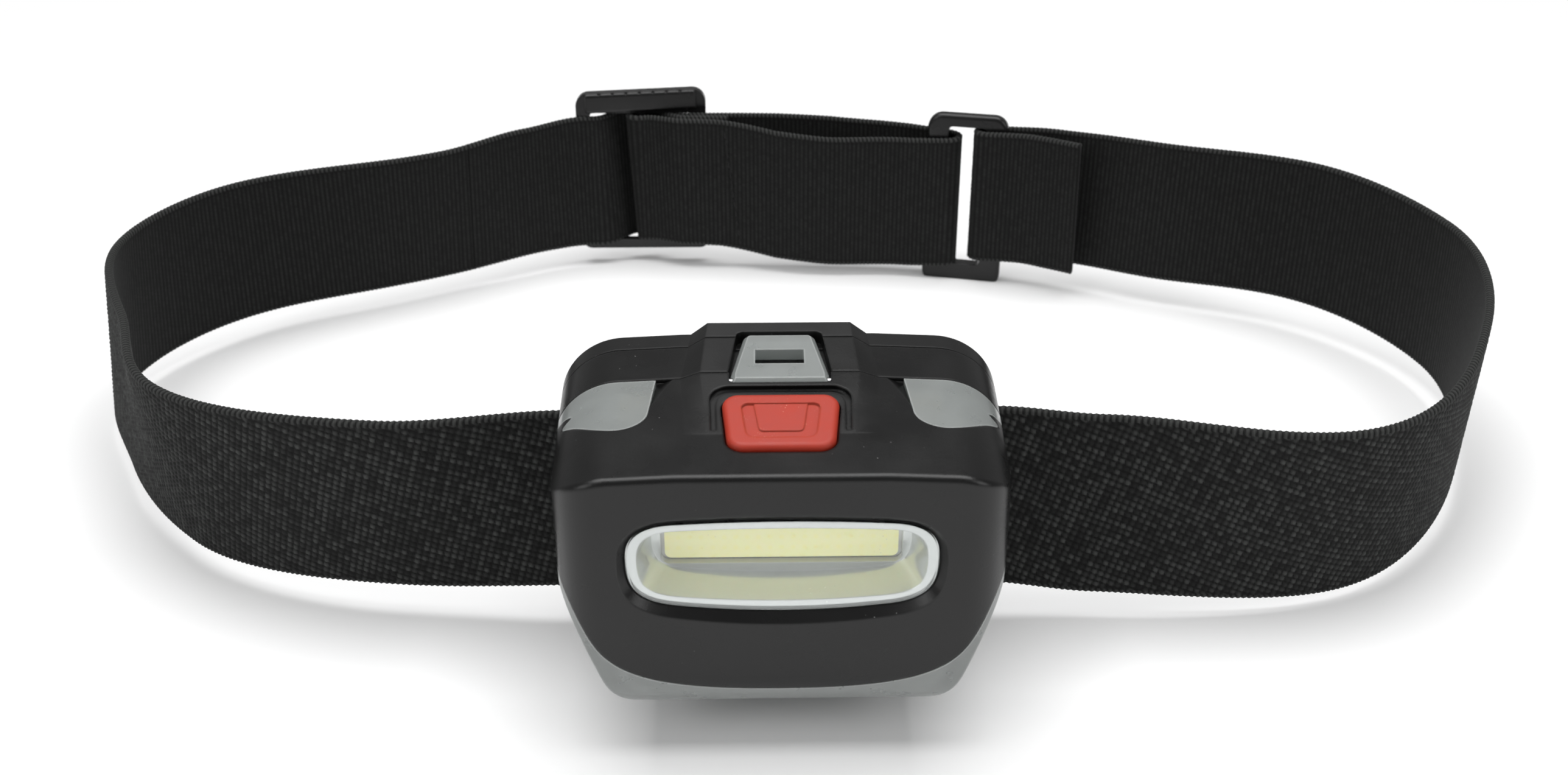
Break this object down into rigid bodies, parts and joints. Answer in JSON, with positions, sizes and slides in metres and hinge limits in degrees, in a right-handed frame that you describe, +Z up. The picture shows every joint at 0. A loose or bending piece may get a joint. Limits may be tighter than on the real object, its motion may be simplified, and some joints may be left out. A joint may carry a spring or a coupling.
{
  "type": "headlamp",
  "caption": "Strap-mounted headlamp with a wide flat light, a top push button, a latched battery housing that tilts on a forehead bracket, and an adjustable elastic strap.",
  "frame": {"origin": "centre line of the strap at the middle of the lamp, inside the bracket's strap channel", "axes": "+X right seen from in front of the lamp, -Y the way the light shines, +Z up"},
  "size_m": [0.2498, 0.1784, 0.0513],
  "materials": {
    "black_shell": "fine satin texture",
    "black_base": "satin",
    "clear_plastic": "frosted clear plastic",
    "lens_clear": "clear",
    "reflector_grey": "satin silver",
    "button_silicone": "soft matte",
    "foam": "closed-cell foam",
    "webbing": "elastic webbing",
    "buckle_plastic": "satin gloss",
    "steel": "plain",
    "aluminium_plate": "milled",
    "phosphor": "smooth silicone",
    "board_green": "solder mask",
    "chip_black": "moulded",
    "led_white": "moulded",
    "cell_wrap": "printed sleeve without lettering",
    "gasket_rubber": "soft"
  },
  "bodies": {
    "base": {"rear_bracket": "black_base", "forehead_pad": "foam", "tilt_pin": "steel", "ring": "buckle_plastic", "strap_band": "webbing", "strap_adjuster": "webbing"},
    "head": {"battery_housing": "black_shell", "compartment_gasket": "gasket_rubber", "cell_low": "cell_wrap", "cell_middle": "cell_wrap", "cell_top": "cell_wrap", "cell_contacts": "steel", "cell_springs": "steel", "cover_hinge_pins": "steel"},
    "front": {"front_cover": "black_shell", "light_frame": "clear_plastic", "latch_pin": "steel", "switch_body": "chip_black", "lens": "lens_clear", "reflector": "reflector_grey", "cob_board": "aluminium_plate", "cob_phosphor": "phosphor", "heat_spreader": "aluminium_plate", "circuit_board": "board_green", "board_screws": "steel", "side_leds": "led_white", "board_chips": "chip_black", "feed_leaves": "steel"},
    "latch": {"latch_tongue": "clear_plastic"},
    "button": {"power_button": "button_silicone"},
    "plunger": {"switch_plunger": "buckle_plastic"},
    "glide": {"tri_glide": "buckle_plastic"}
  },
  "joints": [
    {"name": "head_tilt", "type": "hinge", "parent": "base", "child": "head", "pos_m": [0, -0.007, -0.018], "axis": [1, 0, 0], "range_deg": [0, 45]},
    {"name": "front_open", "type": "hinge", "parent": "head", "child": "front", "pos_m": [0, -0.0118, -0.01685], "axis": [1, 0, 0], "range_deg": [0, 70]},
    {"name": "latch_lift", "type": "hinge", "parent": "front", "child": "latch", "pos_m": [0, -0.01273, 0.02584], "axis": [1, 0, 0], "range_deg": [0, 8]},
    {"name": "button_press", "type": "slide", "parent": "front", "child": "button", "axis": [0, 0.2055, -0.9787], "range_m": [0, 0.0008]},
    {"name": "plunger_press", "type": "slide", "parent": "front", "child": "plunger", "axis": [0, 0.2055, -0.9787], "range_m": [0, 0.0008]},
    {"name": "glide_slide", "type": "slide", "parent": "base", "child": "glide", "axis": [1, 0, 0], "range_m": [-0.006, 0.006], "deforming": ["strap_adjuster"]}
  ],
  "couplings": [
    {"joint": "plunger_press", "follows": "button_press", "ratio": 1}
  ]
}
